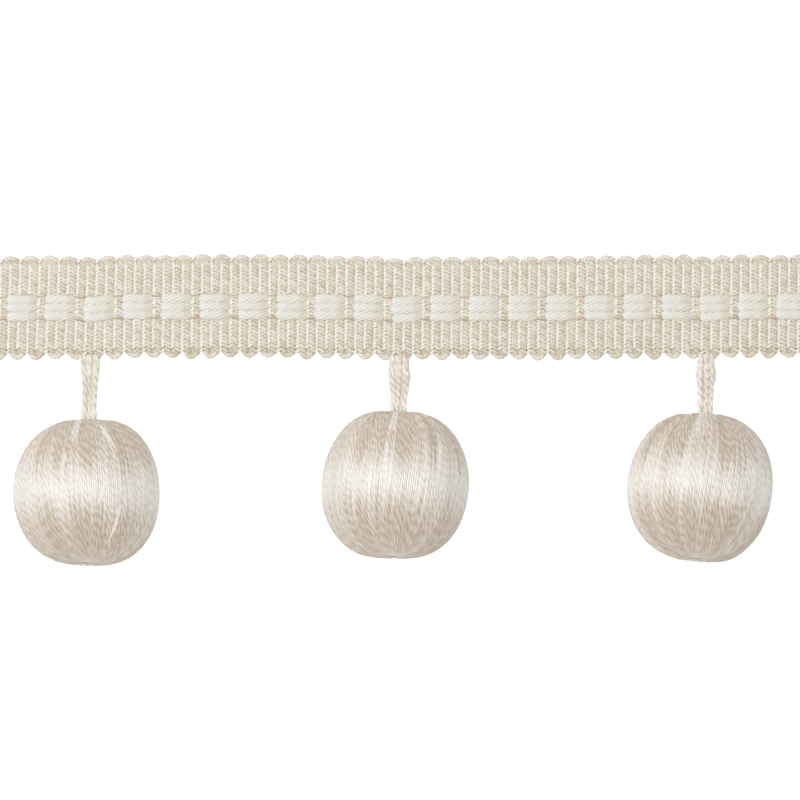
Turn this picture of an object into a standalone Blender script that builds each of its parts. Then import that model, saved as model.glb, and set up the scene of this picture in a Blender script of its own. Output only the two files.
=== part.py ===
"""Pompom fringe trim: a ribbed braid with scalloped edges, and three balls wound of thread
that hang from it on short twisted hangers. It lies face up, the braid along X and the balls
towards -Y. Metres, +Z up."""

import math
import random

import bmesh
import bpy
from mathutils import Matrix, Vector

MM = 0.001

# The braid: ribs across it, two ribs to a scallop and four to a woven float
RIB_PITCH = 1.635 * MM
RIBS = 96
LENGTH = RIBS * RIB_PITCH
BRAID_Y = 17.6 * MM
NOTCH_HALF_WIDTH = 7.95 * MM
UPPER_REACH = 0.68 * MM
LOWER_REACH = 1.20 * MM
SCALLOP_SPREAD = 0.12
SCALLOP_SEED = 11

# Heights over the flat back
EDGE_Z = 0.42 * MM
SCALLOP_Z = 1.20 * MM
NOTCH_Z = 0.82 * MM
UNDER_SCALLOP_Z = 0.78 * MM
VALLEY_Z = 1.05 * MM
RIB_Z = 1.45 * MM
FLOAT_SIDE_Z = 1.72 * MM
FLOAT_CROWN_Z = 1.95 * MM

# Rows across the braid, measured from its edge or from the middle of the floats
SCALLOP_CREST_IN = 0.46 * MM
FIELD_IN = 0.90 * MM
FLOAT_MIDDLE = -0.25 * MM
FLOAT_HALF = 2.20 * MM
FLOAT_FOOT = 0.22 * MM
FLOAT_SIDE = 0.38 * MM

# Where things fall along the braid, counted in ribs
RIB_SHOULDER = 0.3
ON_STRIPE = 0.05
FLOAT_EVERY = 4
FLOAT_FIRST = 3
FLOAT_FROM = -0.38
FLOAT_TO = 2.4

# How far the woven band wanders, leans and is drawn down by the hangers
RIB_LEAN = 0.014
END_LEAN = 0.028
END_LEAN_LENGTH = 38 * MM
WANDER = 0.16 * MM
WANDER_LENGTH = 92 * MM
HANGER_DRAW = 0.34 * MM
HANGER_DRAW_WIDTH = 2.6 * MM

# The balls: where each centre lies, its radius, how its axis leans sideways and dips towards
# the surface, how far its thread is twisted, and how its outline departs from round
BALLS = (
    {"x": -53.62, "y": -14.1, "radius": 12.78, "lean": 1.2, "dip": 8, "twist": -5,
     "oval": 0.16, "oval_turn": -0.05, "pear": -0.14, "pear_turn": -0.04, "square": 0.20, "square_turn": -0.02},
    {"x": -1.5, "y": -12.8, "radius": 12.87, "lean": 2.0, "dip": 7, "twist": 5,
     "oval": 0.29, "oval_turn": 0.10, "pear": 0.0, "pear_turn": -0.08, "square": 0.15, "square_turn": 0.06},
    {"x": 50.1, "y": -13.25, "radius": 12.78, "lean": 3.8, "dip": 10, "twist": 5,
     "oval": 0.30, "oval_turn": 0.0, "pear": -0.11, "pear_turn": -0.03, "square": 0.12, "square_turn": 0.06},
)
BALL_SIDES = 40
BALL_RINGS = 20
BALL_SEED = 40
HANGER_DIMPLE = 1.5 * MM
END_DIMPLE = 0.7 * MM
POLE_DIMPLE_ANGLE = math.radians(15)
BUNDLE_RELIEF = 0.15 * MM
PLEAT_RELIEF = 0.32 * MM
BUNDLE_SIDES = 3
FLAT_SPOT_DEPTH = 0.35 * MM

# The hangers: where each leaves the braid, and its widths from the braid to the ball
HANGERS = (
    {"x": -53.45, "widths": (3.4, 3.0, 2.7, 2.55, 2.7)},
    {"x": -1.0, "widths": (3.3, 4.0, 3.5, 2.8, 2.9)},
    {"x": 51.25, "widths": (2.9, 3.2, 3.0, 2.6, 2.8)},
)
HANGER_THICKNESS = 1.25 * MM
HANGER_SIDES = 18
HANGER_STATIONS = 12
HANGER_LOBES = 6
HANGER_LOBE_DEPTH = 0.11
HANGER_LOBE_TURN = math.radians(150)
HANGER_ROOT_Z = 0.85 * MM
HANGER_BEND = 0.34
CLEARANCE = 0.3 * MM
POLE_CLEARANCE = 0.65 * MM

GIMP_COLOUR = (0.62, 0.55, 0.44)
HANGER_COLOUR = (0.74, 0.70, 0.62)
BALL_COLOUR = (0.70, 0.63, 0.54)


def clear_scene():
    for thing in list(bpy.data.objects):
        bpy.data.objects.remove(thing, do_unlink=True)


def new_collection(name):
    collection = bpy.data.collections.new(name)
    bpy.context.scene.collection.children.link(collection)
    return collection


def thread_material(name, colour, roughness):
    material = bpy.data.materials.new(name)
    material.use_nodes = True
    shader = material.node_tree.nodes["Principled BSDF"]
    shader.inputs["Base Color"].default_value = (*colour, 1.0)
    shader.inputs["Roughness"].default_value = roughness
    shader.inputs["Metallic"].default_value = 0.0
    return material


def finish_object(mesh_builder, name, material, collection, parent, smooth):
    """Turn a finished bmesh into a named object with its material."""
    bmesh.ops.recalc_face_normals(mesh_builder, faces=mesh_builder.faces)
    if mesh_builder.calc_volume(signed=True) < 0:
        bmesh.ops.reverse_faces(mesh_builder, faces=mesh_builder.faces)
    mesh = bpy.data.meshes.new(name)
    mesh_builder.to_mesh(mesh)
    mesh_builder.free()
    mesh.materials.append(material)
    if smooth:
        mesh.shade_smooth()
    thing = bpy.data.objects.new(name, mesh)
    collection.objects.link(thing)
    thing.parent = parent
    return thing


# The braid

def rib_lean(x):
    """Sideways lean of the ribs; it is strongest near the -X end and fades out at the cut."""
    along = (x + LENGTH / 2) / END_LEAN_LENGTH
    extra = math.sin(math.pi * along) ** 2 if 0 < along < 1 else 0.0
    return RIB_LEAN + END_LEAN * extra


def band_shift(x):
    """How far the whole band sits above or below its line at x."""
    shift = -WANDER * math.cos(2 * math.pi * (x + LENGTH / 2) / WANDER_LENGTH)
    for hanger in HANGERS:
        away = (x - hanger["x"] * MM) / HANGER_DRAW_WIDTH
        shift -= HANGER_DRAW * math.exp(-away * away)
    return shift


def scallop_sizes():
    """Uneven sizes of the scallops, one list for the upper edge and one for the lower."""
    chance = random.Random(SCALLOP_SEED)
    count = RIBS // 2 + 1
    return {side: [1 + SCALLOP_SPREAD * chance.uniform(-1, 1) for _ in range(count)] for side in (1, -1)}


def from_scallop(position, side):
    """Distance in ribs from the middle of the nearest scallop; the two edges are one rib apart."""
    first = 1 if side > 0 else 0
    return abs((position - first + 1) % 2 - 1)


def scallop_reach(position, side, sizes):
    """How far the edge stands out past the notches."""
    first = 1 if side > 0 else 0
    index = int((position - first + 1) // 2)
    index = min(max(index, 0), len(sizes[side]) - 1)
    away = from_scallop(position, side)
    reach = UPPER_REACH if side > 0 else LOWER_REACH
    return reach * sizes[side][index] * math.sqrt(max(0.0, 1 - away * away))


def rib_height(position):
    """Ribs are high between their shoulders and low at the stitched stripes."""
    across = position % 1
    return RIB_Z if min(across, 1 - across) > ON_STRIPE else VALLEY_Z


def on_float(position):
    along = (position - FLOAT_FIRST + 1) % FLOAT_EVERY - 1
    return FLOAT_FROM < along < FLOAT_TO


def column_positions():
    positions = []
    for rib in range(RIBS):
        positions += [rib, rib + RIB_SHOULDER, rib + 1 - RIB_SHOULDER]
    return positions + [RIBS]


def section_points(position, sizes):
    """One cut across the braid's face, from the upper edge to the lower, as (y, z) pairs."""
    points = []
    for side in (1, -1):
        edge = NOTCH_HALF_WIDTH + scallop_reach(position, side, sizes)
        away = from_scallop(position, side)
        crest_z = NOTCH_Z if away > 1 - ON_STRIPE else SCALLOP_Z
        field_z = UNDER_SCALLOP_Z if away < ON_STRIPE else rib_height(position)
        side_z = FLOAT_SIDE_Z if on_float(position) else rib_height(position)
        half = [
            (side * edge, EDGE_Z),
            (side * (edge - SCALLOP_CREST_IN), crest_z),
            (side * (NOTCH_HALF_WIDTH - FIELD_IN), field_z),
            (FLOAT_MIDDLE + side * (FLOAT_HALF + FLOAT_FOOT), rib_height(position)),
            (FLOAT_MIDDLE + side * (FLOAT_HALF - FLOAT_SIDE), side_z),
        ]
        points += half if side > 0 else half[::-1]
    crown_z = FLOAT_CROWN_Z if on_float(position) else rib_height(position)
    points.insert(len(points) // 2, (FLOAT_MIDDLE, crown_z))
    return points


def make_braid(material, collection, parent):
    """A grid bent into the ribbed face, with straight sides down to a flat back."""
    sizes = scallop_sizes()
    columns = column_positions()
    sections = [section_points(position, sizes) for position in columns]
    across = len(sections[0]) - 1
    along = len(columns) - 1
    builder = bmesh.new()
    bmesh.ops.create_grid(builder, x_segments=along, y_segments=across, size=1)
    for vertex in builder.verts:
        column = round((vertex.co.x + 1) / 2 * along)
        row = round((1 - vertex.co.y) / 2 * across)
        y, z = sections[column][row]
        x = columns[column] * RIB_PITCH - LENGTH / 2
        vertex.co = Vector((x + rib_lean(x) * y, BRAID_Y + band_shift(x) + y, z))
    rim = [edge for edge in builder.edges if edge.is_boundary]
    skirt = bmesh.ops.extrude_edge_only(builder, edges=rim)["geom"]
    for vertex in [item for item in skirt if isinstance(item, bmesh.types.BMVert)]:
        vertex.co.z = 0
    foot = [item for item in skirt if isinstance(item, bmesh.types.BMEdge)]
    bmesh.ops.contextual_create(builder, geom=foot)
    return finish_object(builder, "braid", material, collection, parent, smooth=False)


# The balls

def ball_frame(ball):
    """Turn that takes the winding axis from +Z to the ball's own direction, towards the braid."""
    lean = Matrix.Rotation(-math.radians(ball["lean"]), 3, "Z")
    fall = Matrix.Rotation(-math.radians(90 + ball["dip"]), 3, "X")
    return lean @ fall


def pole_dimple(latitude):
    """Depth of the hollow at a pole, deeper where the hanger goes in than at the far end."""
    from_pole = (math.pi / 2 - abs(latitude)) / POLE_DIMPLE_ANGLE
    return (HANGER_DIMPLE if latitude > 0 else END_DIMPLE) * math.exp(-from_pole * from_pole)


def outline_radius(ball, latitude, direction):
    """Radius of the wound form before its bundles and pleats."""
    turn = math.atan2(direction.y, direction.x)
    level = direction.x ** 2 + direction.y ** 2
    radius = ball["radius"]
    radius -= ball["oval"] * math.cos(2 * latitude)
    radius -= ball["square"] * math.cos(4 * latitude)
    uneven = ball["oval_turn"] * math.sin(2 * turn)
    uneven += ball["pear"] * math.cos(3 * turn)
    uneven += ball["pear_turn"] * math.sin(3 * turn)
    uneven += ball["square_turn"] * math.sin(4 * turn)
    return (radius + level * uneven) * MM


def winding_relief(seed):
    """Uneven heights round the ball: broad bundles of thread, and pleats near the poles."""
    chance = random.Random(seed)
    bundles = [chance.uniform(-1, 1) for _ in range(BALL_SIDES // BUNDLE_SIDES + 1)]
    relief = []
    for side in range(BALL_SIDES):
        fold = chance.uniform(0.3, 1) * (1 if side % 2 else -1)
        relief.append((bundles[side // BUNDLE_SIDES], fold))
    return relief


def make_ball(number, ball, material, collection, parent):
    """A wound ball resting on a small flat spot, its pole turned towards the braid."""
    turn = ball_frame(ball)
    relief = winding_relief(BALL_SEED + number)
    builder = bmesh.new()
    bmesh.ops.create_uvsphere(builder, u_segments=BALL_SIDES, v_segments=BALL_RINGS, radius=1)
    for vertex in builder.verts:
        latitude = math.asin(max(-1, min(1, vertex.co.z)))
        longitude = math.atan2(vertex.co.y, vertex.co.x)
        bundle, fold = relief[round(longitude / (2 * math.pi) * BALL_SIDES) % BALL_SIDES]
        longitude += math.radians(ball["twist"]) * math.sin(latitude)
        flat = math.cos(latitude)
        local = Vector((flat * math.cos(longitude), flat * math.sin(longitude), math.sin(latitude)))
        direction = turn @ local
        radius = outline_radius(ball, latitude, direction) - pole_dimple(latitude)
        radius += BUNDLE_RELIEF * bundle * flat
        radius += PLEAT_RELIEF * fold * math.sin(2 * latitude) ** 2 * math.sin(latitude) ** 2
        vertex.co = radius * direction
    lowest = min(vertex.co.z for vertex in builder.verts)
    centre = Vector((ball["x"] * MM, ball["y"] * MM, -lowest - FLAT_SPOT_DEPTH))
    bmesh.ops.translate(builder, verts=builder.verts, vec=centre)
    for vertex in builder.verts:
        vertex.co.z = max(vertex.co.z, 0)
    finish_object(builder, f"ball_{number}", material, collection, parent, smooth=True)
    return centre


# The hangers

def pole_point(ball, centre):
    """Where a hanger ends, just short of the dimple at the ball's pole, and the way it points."""
    axis = ball_frame(ball) @ Vector((0, 0, 1))
    reach = outline_radius(ball, math.pi / 2, axis) - HANGER_DIMPLE + POLE_CLEARANCE
    return centre + reach * axis, axis


def bezier(points, along):
    """Place and direction on the cubic curve through four control points."""
    a, b, c, d = points
    rest = 1 - along
    place = a * rest ** 3 + b * 3 * rest ** 2 * along + c * 3 * rest * along ** 2 + d * along ** 3
    heading = (b - a) * rest ** 2 + (c - b) * 2 * rest * along + (d - c) * along ** 2
    return place, heading.normalized()


def width_at(widths, along):
    """Width of a hanger between the ones its table gives."""
    spot = along * (len(widths) - 1)
    index = min(int(spot), len(widths) - 2)
    share = spot - index
    share = share * share * (3 - 2 * share)
    return (widths[index] * (1 - share) + widths[index + 1] * share) * MM


def make_hanger(number, hanger, ball, centre, material, collection, parent):
    """A flat bundle of twisted yarns, ridged all round, from under the braid's edge to the ball."""
    x = hanger["x"] * MM
    edge_y = BRAID_Y + band_shift(x) - NOTCH_HALF_WIDTH - LOWER_REACH * (1 + SCALLOP_SPREAD)
    root = Vector((x, edge_y - CLEARANCE, HANGER_ROOT_Z))
    foot, axis = pole_point(ball, centre)
    handle = HANGER_BEND * (foot - root).length
    route = (root, root + Vector((0, -handle, 0)), foot + axis * handle, foot)
    builder = bmesh.new()
    bmesh.ops.create_cone(builder, cap_ends=True, segments=HANGER_SIDES, radius1=1, radius2=1, depth=1)
    uprights = [edge for edge in builder.edges if abs(edge.verts[0].co.z - edge.verts[1].co.z) > 0.5]
    bmesh.ops.subdivide_edges(builder, edges=uprights, cuts=HANGER_STATIONS - 1, use_grid_fill=True)
    for vertex in builder.verts:
        along = 0.5 - vertex.co.z
        around = math.atan2(vertex.co.y, vertex.co.x)
        place, heading = bezier(route, along)
        sideways = heading.cross(Vector((0, 0, 1))).normalized()
        upwards = sideways.cross(heading)
        ridge = 1 + HANGER_LOBE_DEPTH * math.cos(HANGER_LOBES * around + HANGER_LOBE_TURN * along * HANGER_LOBES)
        half_width = width_at(hanger["widths"], along) / 2
        offset = sideways * (half_width * math.cos(around))
        offset += upwards * (HANGER_THICKNESS / 2 * math.sin(around))
        vertex.co = place + offset * ridge
    finish_object(builder, f"hanger_{number}", material, collection, parent, smooth=True)


def centre_on_origin(parent, collection):
    """Move the trim so that the middle of its box stands over the origin."""
    bpy.context.view_layer.update()
    points = [thing.matrix_world @ Vector(corner) for thing in collection.objects for corner in thing.bound_box]
    for axis in (0, 1):
        middle = (min(point[axis] for point in points) + max(point[axis] for point in points)) / 2
        parent.location[axis] = -middle


def main():
    clear_scene()
    collection = new_collection("pompom_fringe_trim")
    trim = bpy.data.objects.new("trim_centre", None)
    collection.objects.link(trim)
    gimp = thread_material("braid_yarn", GIMP_COLOUR, 0.85)
    twisted = thread_material("hanger_yarn", HANGER_COLOUR, 0.8)
    wound = thread_material("ball_thread", BALL_COLOUR, 0.5)
    make_braid(gimp, collection, trim)
    for number, (ball, hanger) in enumerate(zip(BALLS, HANGERS), start=1):
        centre = make_ball(number, ball, wound, collection, trim)
        make_hanger(number, hanger, ball, centre, twisted, collection, trim)
    centre_on_origin(trim, collection)


main()
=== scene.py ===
"""Pompom fringe trim, dressed: a ribbed braid stitched in cream and white with scalloped gimp
edges and raised white floats, and three balls wound of satin thread on twisted hangers.
Metres, +Z up, the braid along X and the balls towards -Y."""

import math
import random

import bmesh
import bpy
from mathutils import Matrix, Vector


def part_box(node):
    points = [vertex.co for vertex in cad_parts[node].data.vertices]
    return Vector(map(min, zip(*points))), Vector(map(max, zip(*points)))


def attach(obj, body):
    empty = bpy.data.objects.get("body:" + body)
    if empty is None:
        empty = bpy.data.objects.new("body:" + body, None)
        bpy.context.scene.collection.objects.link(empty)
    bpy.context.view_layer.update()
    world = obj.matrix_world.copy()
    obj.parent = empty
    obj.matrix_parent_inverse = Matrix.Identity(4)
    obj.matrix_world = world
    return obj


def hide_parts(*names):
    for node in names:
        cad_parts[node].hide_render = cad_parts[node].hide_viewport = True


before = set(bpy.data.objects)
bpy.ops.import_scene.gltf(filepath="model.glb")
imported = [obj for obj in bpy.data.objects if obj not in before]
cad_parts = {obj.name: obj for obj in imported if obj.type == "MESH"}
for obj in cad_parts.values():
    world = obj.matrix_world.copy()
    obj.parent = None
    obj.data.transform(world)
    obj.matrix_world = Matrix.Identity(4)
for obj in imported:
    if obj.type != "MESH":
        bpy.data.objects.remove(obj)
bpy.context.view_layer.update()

MM = 0.001
UP = Vector((0, 0, 1))

# The braid as the part has it, only its floats lie a little nearer to the lower edge; there are two ribs
# to a scallop and four to a float
RIB_PITCH = 1.635 * MM
RIBS = 96
LENGTH = RIBS * RIB_PITCH
BRAID_Y = 17.6 * MM
NOTCH_HALF_WIDTH = 7.95 * MM
UPPER_REACH = 0.68 * MM
LOWER_REACH = 1.20 * MM
SCALLOP_SPREAD = 0.12
SCALLOP_SEED = 11
SCALLOP_Z = 1.20 * MM
RIB_Z = 1.45 * MM
FLOAT_CROWN_Z = 1.95 * MM
FLOAT_MIDDLE = -0.33 * MM
FLOAT_HALF = 2.20 * MM
FLOAT_EVERY = 4
FLOAT_FIRST = 3
FLOAT_FROM = -0.38
RIB_LEAN = 0.014
END_LEAN = 0.028
END_LEAN_LENGTH = 38 * MM
WANDER = 0.16 * MM
WANDER_LENGTH = 92 * MM
HANGER_DRAW = 0.34 * MM
HANGER_DRAW_WIDTH = 2.6 * MM

# The stitched rows over the ribs
ROW_PITCH = 0.61 * MM
UPPER_ROWS = 8
LOWER_ROWS = 8
UPPER_ROW_FROM = 2.15 * MM
LOWER_ROW_FROM = -2.75 * MM
NOTCH_STITCH_IN = 0.25 * MM
EDGE_ROWS = (7.10 * MM, -7.62 * MM)
EDGE_ROW_LIFT = 0.14 * MM
STITCH_SINK = 0.06 * MM
STITCH_DRIFT = 0.09 * MM
STITCH_TURN = 1.2 * MM
# Each rib stitch deepens in tone towards its right end: painted shade on the side away from the light
RIB_STITCH = {"from": 0.10, "to": 0.87, "bend": 1.0, "rise": 0.44 * MM, "half_width": 0.34 * MM,
              "half_height": 0.15 * MM, "sizes": (0.85, 1.15), "lifts": (-0.05, 0.03),
              "tones": (0.05, 0.7), "right_shades": (-0.1, 0.7), "right_shade_from": 0.4}
STRIPE_STITCH = {"from": -0.24, "to": 0.15, "bend": 1.6, "rise": -0.36 * MM, "half_width": 0.29 * MM,
                 "half_height": 0.17 * MM, "sizes": (0.8, 1.15), "lifts": (-0.03, 0.03),
                 "tones": (0.0, 0.6)}
# Stitches on the gap rib between floats get a paler tone: painted light against the floats' shadow
GAP_STITCH = {"swell": 1.3, "rise": 0.08 * MM, "tone": 0.2}
STRIPE_CORE = {"spot": -0.05, "half_width": 0.25 * MM, "half_height": 0.20 * MM, "under": 0.07 * MM,
               "tip": 0.04, "tone": 0.4, "turn": -2.0 * MM}
CORE_SHORT_OF_SCALLOP = 0.75 * MM
CORE_SHORT_OF_NOTCH = 0.35 * MM
CORE_UNDER_FLOAT = 0.3 * MM

# The woven ground under the stitches
GROUND_STEPS = 5
GROUND_ROWS = (6.9 * MM, 4.6 * MM, 1.9 * MM, -0.25 * MM, -2.4 * MM, -4.6 * MM, -6.9 * MM)
GROUND_DEPTH = 0.15 * MM
GROUND_DIP = 0.10 * MM
GROUND_IN = 0.35 * MM
GROUND_CHAMFER = 0.2 * MM
GROUND_EDGE_DROP = 0.45 * MM
GROUND_RIM_Z = 0.45 * MM

# The wrapped cord that turns round at the edges from one rib to the next, and the low yarn inside its
# turn; the fill is the share of the part's reach that the cords on the upper and the lower edge take up
ARCH_HALF_WIDTHS = {1: 0.64, -1: 0.56}
ARCH_FILL = {1: 0.87, -1: 1.0}
ARCH_LEG = 0.45 * MM
ARCH_FLATNESS = 0.62
ARCH_NARROWING = 0.6
ARCH_FOOT_SINK = 0.12 * MM
ARCH_TILT = 0.12
ARCH_LIFT = 0.06
ARCH_FROM_CUT = 0.2
EDGE_CORD = {"out": 0.0, "half_width": 0.48 * MM, "half_height": 0.42 * MM, "sink": 0.0, "tone": 0.15}
# The inner yarn's tone, deeper than the cord's, is painted shade inside the turn
INNER_TURN = {"out": -0.64 * MM, "half_width": 0.26 * MM, "half_height": 0.28 * MM, "sink": 0.05 * MM,
              "tone": 0.3}
CORD_TIP = 0.08
CORD_LUMP = 0.05
# The cords deepen towards their right ends, where they go under: painted shade
CORD_TONE = {"lower_edge": 0.15, "spread": 0.25, "clouds": 0.2, "dive_shade": 0.7, "dive_shade_from": 0.7,
             "dive_shade_length": 0.3}
WRAP_STARTS = 3
WRAP_TURN = 1.8 * MM
WRAP_SWELL = 0.08

# The floats of loose roving, and the fine threads that cross the gap rib between them
ROVINGS = 3
ROVING_HALF_HEIGHT = 0.50 * MM
ROVING_LOBES = 7
ROVING_TURN = 8.5 * MM
ROVING_SPACING = 0.95
ROVING_HALF_WIDTH = 0.56
ROVING_DRIFT = 0.05
ROVING_SLOPE = 0.10
ROVING_STARTS = (0.0, 0.14)
ROVING_RIDGES = (0.1, 1.3)
RIDGE_FOOT = 0.90
RIDGE_SWELL = 0.17
SIDE_ROVING_DROP = 0.05 * MM
LEFT_DIVE = 0.30 * MM
LEFT_DIVE_LENGTH = 0.07
LEFT_TIP = 0.10
LEFT_TIP_LEAST = 0.45
SHORTEST_FLOAT = 0.6
FROM_CUT = 0.05
FLOAT_SHADE = 1.1
FLOAT_SHADE_MOST = 0.5
CREAM_FROM = 1.8
CREAM_END = 2.86
CREAM_SINK = 0.42 * MM
CREAM_TONE_LENGTH = 0.6
TIE_ROWS = (1.27 * MM, -0.19 * MM, -1.55 * MM)
TIE_THREAD = {"tone": 0.25, "half_width": 0.14}
SHADE_ROWS = (1.52 * MM, -2.25 * MM)
SHADE_THREAD = {"tone": 1.0, "half_width": 0.16}
GAP_THREAD_UNDER = {"left": 0.1, "right": 0.15}
GAP_THREAD_DRIFT = 0.06
GAP_THREAD_LIFT = 0.06 * MM
GAP_THREAD_SAG = 0.1 * MM
LOWEST_THREAD_BOW = 0.10 * MM
SHORTEST_GAP = 0.3

# The balls as the part has them
BALLS = (
    {"x": -53.62, "y": -14.1, "radius": 12.78, "lean": 1.2, "dip": 8, "twist": -5, "oval": 0.16,
     "oval_turn": -0.05, "pear": -0.14, "pear_turn": -0.04, "square": 0.20, "square_turn": -0.02},
    {"x": -1.5, "y": -12.8, "radius": 12.87, "lean": 2.0, "dip": 7, "twist": 5, "oval": 0.29,
     "oval_turn": 0.10, "pear": 0.0, "pear_turn": -0.08, "square": 0.15, "square_turn": 0.06},
    {"x": 50.1, "y": -13.25, "radius": 12.78, "lean": 3.8, "dip": 10, "twist": 5, "oval": 0.30,
     "oval_turn": 0.0, "pear": -0.11, "pear_turn": -0.03, "square": 0.12, "square_turn": 0.06},
)
BALL_SIDES = 40
BALL_SEED = 40
HANGER_DIMPLE = 1.5 * MM
END_DIMPLE = 0.7 * MM
POLE_DIMPLE_ANGLE = math.radians(15)
BUNDLE_RELIEF = 0.15 * MM
PLEAT_RELIEF = 0.32 * MM
BUNDLE_SIDES = 3

# Bands of tan thread on each ball's face: the angle across it, the half width and the strength
BALL_BANDS = (
    {"upper": ((-42, 5, 0.6), (-24, 4, 0.6), (-12, 4, 0.6), (3, 6, 1.0), (34, 6, 0.6), (55, 12, 0.6)),
     "lower": ((-42, 4, 0.7), (-33, 4, 0.7), (-12, 4, 0.6), (6, 8, 1.0), (36, 8, 0.7))},
    {"upper": ((-33, 5, 0.8), (-15, 5, 0.8), (3, 5, 0.8), (33, 6, 0.8), (62, 8, 0.5)),
     "lower": ((-30, 6, 1.0), (4, 7, 0.9), (23, 5, 0.7), (58, 8, 0.7))},
    {"upper": ((-57, 5, 0.7), (-36, 4, 0.7), (-21, 5, 0.8), (18, 8, 1.0), (42, 5, 0.6)),
     "lower": ((-57, 5, 0.6), (-30, 7, 0.9), (-12, 4, 0.6), (21, 16, 1.0))},
)
BALL_THREADS = 204
THREAD_HALF_WIDTH = 0.29 * MM
THREAD_HALF_HEIGHT = 0.10 * MM
THREAD_END = math.radians(87)
THREAD_TURN = 2.8 * MM
POLE_STRAIGHTENING = 1.8
THREAD_SWAY = math.radians(0.25)
SWAY_WAVES = 2.6
THREAD_SHIFT = 0.12
THREAD_STRENGTHS = (0.65, 1.3)
# How far up or down each thread's painted highlight may slide, in degrees
THREAD_HIGHLIGHT_SHIFT = 8
THREAD_TURNS = (0.75, 1.35)
THREAD_SIZES = (0.85, 1.15)
THREAD_POLE_WIDTH = 0.35
LAYER_WAVES = (2.5, 5.0)
OWN_TONE = 0.07
PILE_DEPTH = 0.04 * MM
UNDER_TURNS_DEPTH = 0.14 * MM

# Pale threads that lie over the rest: the angles across the face at both ends, the heights at both ends,
# the number of threads and their tone
BALL_STREAKS = (
    ((-9, -10, 80, 26, 4, 0.45), (16, 29, 72, 18, 3, 0.3), (17, 9, 13, -26, 3, 0.1),
     (29, 22, -8, -52, 2, 0.1), (-17, -16, 30, 8, 2, 0.25)),
    ((-7, -9, 80, 30, 4, 0.4), (-12, -7, 42, -10, 2, 0.1), (38, 34, 44, -14, 4, 0.2),
     (24, 26, 32, 0, 3, 0.25), (-22, -20, 16, -24, 2, 0.1)),
    ((-10, -5, 80, 28, 7, 0.4), (-15, -13, 24, -22, 3, 0.1), (-3, -1, 26, -12, 2, 0.1),
     (24, 21, 22, -14, 2, 0.1), (45, 44, 20, -14, 2, 0.1)),
)
STREAK_HALF_WIDTH = 0.21 * MM
STREAK_HALF_HEIGHT = 0.11 * MM
STREAK_DEPTH = 0.10 * MM
STREAK_DIVE = 0.14 * MM
STREAK_SPACING = 1.7
STREAK_TOPS = (-10, 3)
STREAK_BOTTOMS = (-9, 9)
STREAK_TIP = 0.35

# A painted highlight: the pale ring round a ball's widest part, in degrees of latitude, and how the tan comes
# back past it
PAINTED_HIGHLIGHT_MIDDLE = -3.0
PAINTED_HIGHLIGHT_REACH = 23.0
PAINTED_HIGHLIGHT_FADE = 1.5
BAND_IN_PAINTED_HIGHLIGHT = 0.12
BAND_PAST_PAINTED_HIGHLIGHT = 0.83
OWN_TONE_HIGHLIGHT_FADE = 0.5
HALVES_BLEND = 9.0
BASE_TONE = 0.18
# Painted shade towards the poles, with some of the thread's own tan; deeper below than above
UPPER_POLE_TAN_AND_SHADE = 0.60
LOWER_POLE_TAN_AND_SHADE = 0.68
FACE_ANGLE = -math.pi / 2

# The hangers as the part has them
HANGERS = (
    {"x": -53.45, "widths": (3.6, 3.0, 2.7, 2.55, 2.7), "shades": ((-0.16, 0.45), (-0.78, -0.70))},
    {"x": -1.0, "widths": (3.3, 4.0, 3.5, 2.8, 2.9), "shades": ((-0.24, 0.05), (-0.98, -0.58))},
    {"x": 51.25, "widths": (2.9, 3.2, 3.0, 2.6, 2.8), "shades": ((0.38, 0.34), (-0.28, -0.30))},
)
HANGER_ROOT_Z = 0.85 * MM
HANGER_BEND = 0.34
CLEARANCE = 0.3 * MM
POLE_CLEARANCE = 0.65 * MM
HANGER_YARNS = 3
HANGER_PLIES = 2
PLY_TURN = 4.6 * MM
PLY_HALF_WIDTH = 0.29 * MM
PLY_SPREAD = 0.15
LANE_SPACING = 0.66
SHADE_HALF_WIDTH = 0.21 * MM
BACK_HALF_HEIGHT = 0.22 * MM
YARN_CHANCES = {"rises": (-0.10, 0.12), "turns": (0.9, 1.2), "tones": (0.0, 0.35), "sways": (-0.10, 0.10)}
PLY_HEIGHT = 0.24 * MM
COTTON_TURN = -2.2 * MM
HANGER_TIP = 0.03
SHADE_HEIGHT = 0.17 * MM
SHADE_TONE = 0.85
SHADE_SWAY = 0.05
BACK_WIDTH = 0.45
BACK_HEIGHT = -0.02 * MM
BACK_TONE = 0.4
FRAYS = 5
FRAY_HALF_WIDTH = 0.10 * MM
FRAY_CHANCES = {"reaches": (0.22, 0.6), "bulges": (0.02, 0.22), "leaves": (0.55, 0.9), "tones": (0.1, 0.7)}
FRAY_START = -0.06
FRAY_RETURN = 0.25
FRAY_HEIGHT = 0.15 * MM
FRAY_TURN = -1.2 * MM
HANGER_TUCK = 1.8 * MM
TUCK_LIFT = 0.70 * MM
TUCK_DIVE = 0.45 * MM

# The camera looks straight down on the trim; the picture is 136 mm wide at the braid
PICTURE_MIDDLE = Vector((-0.73 * MM, 1.53 * MM, 0))
PICTURE_WIDTH = 136 * MM
CAMERA_HEIGHT = 2.5
SENSOR = 36.0

# A white table that shines a little, a white sky, and one soft box beyond the braid at the left
FLOOR_GREY = (0.20, 0.20, 0.20, 1)
FLOOR_GLOW = 0.92
WHITE = (1, 1, 1, 1)
SKY_LIGHT = 0.62
KEY_PLACE = Vector((-0.30, 0.15, 0.95))
KEY_SIZE = (0.45, 0.9)
KEY_POWER = 5.9

# How many turns apart the strands' twists may start, and the slight spread of their tones
START_SPAN = 50
TONE_SPREAD = 0.1
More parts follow.
